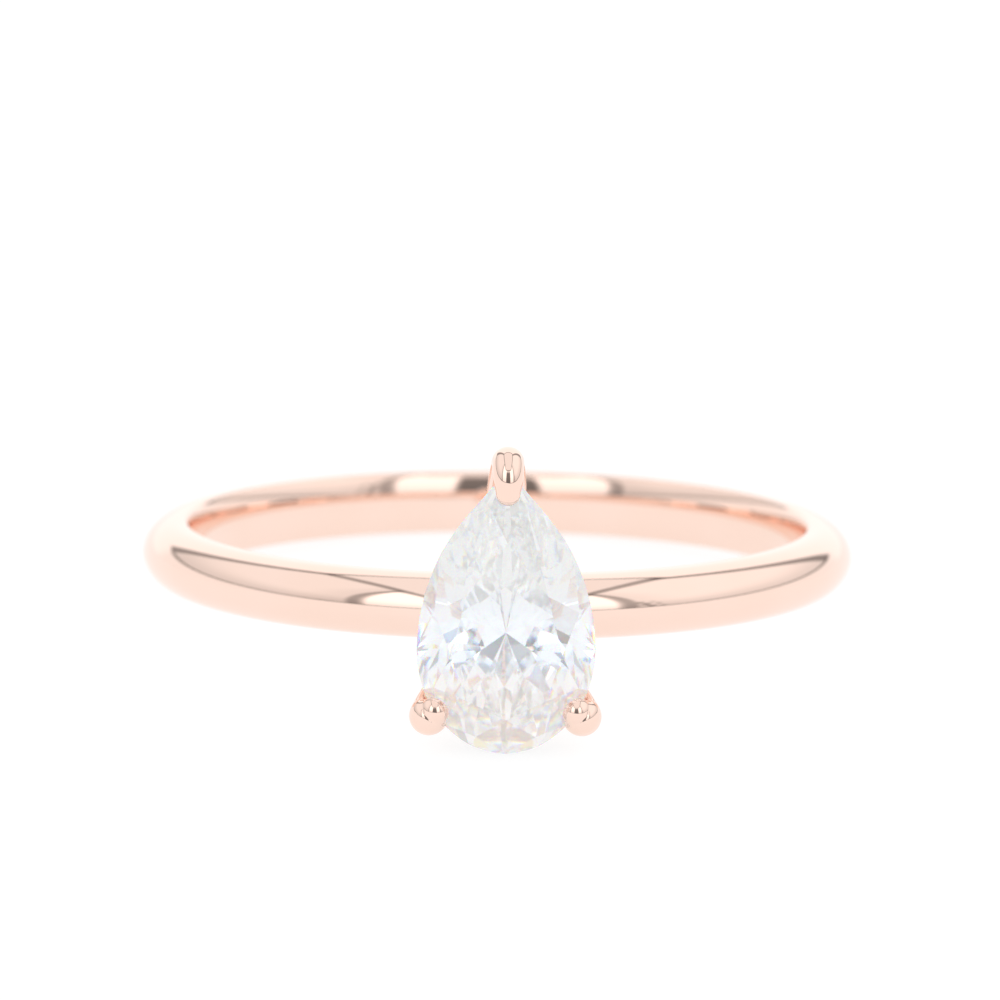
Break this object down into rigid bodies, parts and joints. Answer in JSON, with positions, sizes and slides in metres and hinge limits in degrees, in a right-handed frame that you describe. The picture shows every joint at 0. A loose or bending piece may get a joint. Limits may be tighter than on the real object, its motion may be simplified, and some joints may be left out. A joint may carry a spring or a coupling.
{
  "type": "engagement ring",
  "caption": "Finger ring with a slim half-round comfort-fit band and a pear-cut clear stone held point-up in a three-claw basket head.",
  "frame": {"origin": "centre of the ring's overall box; the finger bore's centre is at x 0, y +1.675 mm, z -0.746 mm", "axes": "+Z along the finger, -Y from the finger out through the stone, +X to the right when facing the stone with its point up"},
  "size_m": [0.0202, 0.0234, 0.0082],
  "materials": {
    "rose_gold": "14 carat rose gold, mirror polished",
    "gold_solder": "rose gold solder, polished flush with the metal beside it",
    "diamond": "colourless diamond, flat polished facets, refractive index 2.42"
  },
  "bodies": {
    "root": {"shank": "rose_gold", "shank_seam_solder": "gold_solder", "base_rail": "rose_gold", "gallery_rail": "rose_gold", "claw_point": "rose_gold", "claw_left": "rose_gold", "claw_right": "rose_gold", "diamond": "diamond", "head_solder_left": "gold_solder", "head_solder_right": "gold_solder", "base_solder_point": "gold_solder", "base_solder_left": "gold_solder", "base_solder_right": "gold_solder", "gallery_solder_point": "gold_solder", "gallery_solder_left": "gold_solder", "gallery_solder_right": "gold_solder"}
  },
  "joints": []
}
